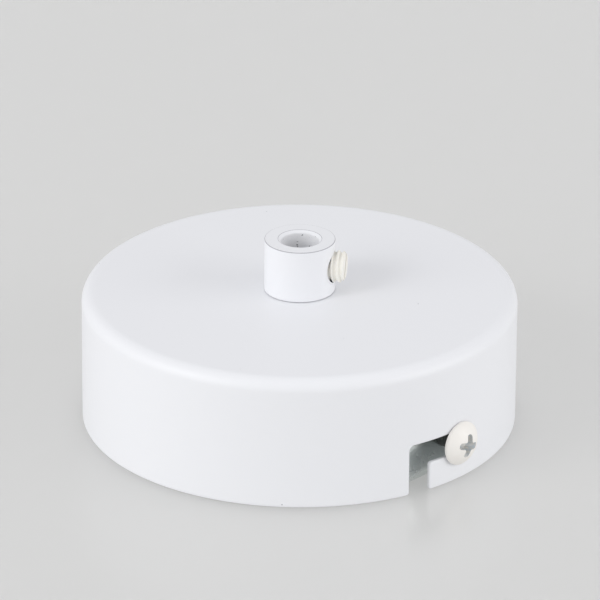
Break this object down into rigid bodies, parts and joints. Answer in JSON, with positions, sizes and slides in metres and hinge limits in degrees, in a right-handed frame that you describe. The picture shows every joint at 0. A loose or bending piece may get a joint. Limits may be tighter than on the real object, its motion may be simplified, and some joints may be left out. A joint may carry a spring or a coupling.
{
  "type": "ceiling rose",
  "caption": "Drum-shaped metal ceiling rose: a white canopy that twists onto a ceiling bracket and is held by side screws, with a cord grip and nylon clamping screw on its face.",
  "frame": {"origin": "centre of the canopy's rim, on the ceiling plane that the rim meets", "axes": "+Z away from the ceiling through the cord grip, +X along the bracket towards the front side screw"},
  "size_m": [0.085, 0.08, 0.035],
  "materials": {
    "white_powder_coat": "satin powder coat on steel",
    "white_lacquer": "satin lacquer on steel",
    "natural_nylon": "moulded nylon",
    "zinc_plated_steel": "bright zinc plate",
    "brass": "turned brass"
  },
  "bodies": {
    "bracket": {"mounting_bracket": "zinc_plated_steel"},
    "canopy": {"canopy_shell": "white_powder_coat", "cord_grip": "white_powder_coat", "grip_lock_washer": "zinc_plated_steel", "grip_nut": "zinc_plated_steel"},
    "side_screw_front": {"side_screw_front": "white_lacquer"},
    "side_screw_rear": {"side_screw_rear": "white_lacquer"},
    "earth_screw": {"earth_screw": "brass", "earth_washer": "zinc_plated_steel"},
    "clamp_screw": {"clamp_screw": "natural_nylon"}
  },
  "joints": [
    {"name": "canopy_twist", "type": "hinge", "parent": "bracket", "child": "canopy", "pos_m": [0, 0, 0], "axis": [0, 0, 1], "range_deg": [0, 13.4]},
    {"name": "side_screw_front_travel", "type": "slide", "parent": "bracket", "child": "side_screw_front", "axis": [1, 0, 0], "range_m": [0, 0.004]},
    {"name": "side_screw_rear_travel", "type": "slide", "parent": "bracket", "child": "side_screw_rear", "axis": [-1, 0, 0], "range_m": [0, 0.004]},
    {"name": "earth_screw_travel", "type": "slide", "parent": "bracket", "child": "earth_screw", "axis": [0, 1, 0], "range_m": [0, 0.0025]},
    {"name": "clamp_screw_travel", "type": "slide", "parent": "canopy", "child": "clamp_screw", "axis": [-0.8434, -0.5373, 0], "range_m": [-0.0015, 0.003]}
  ]
}
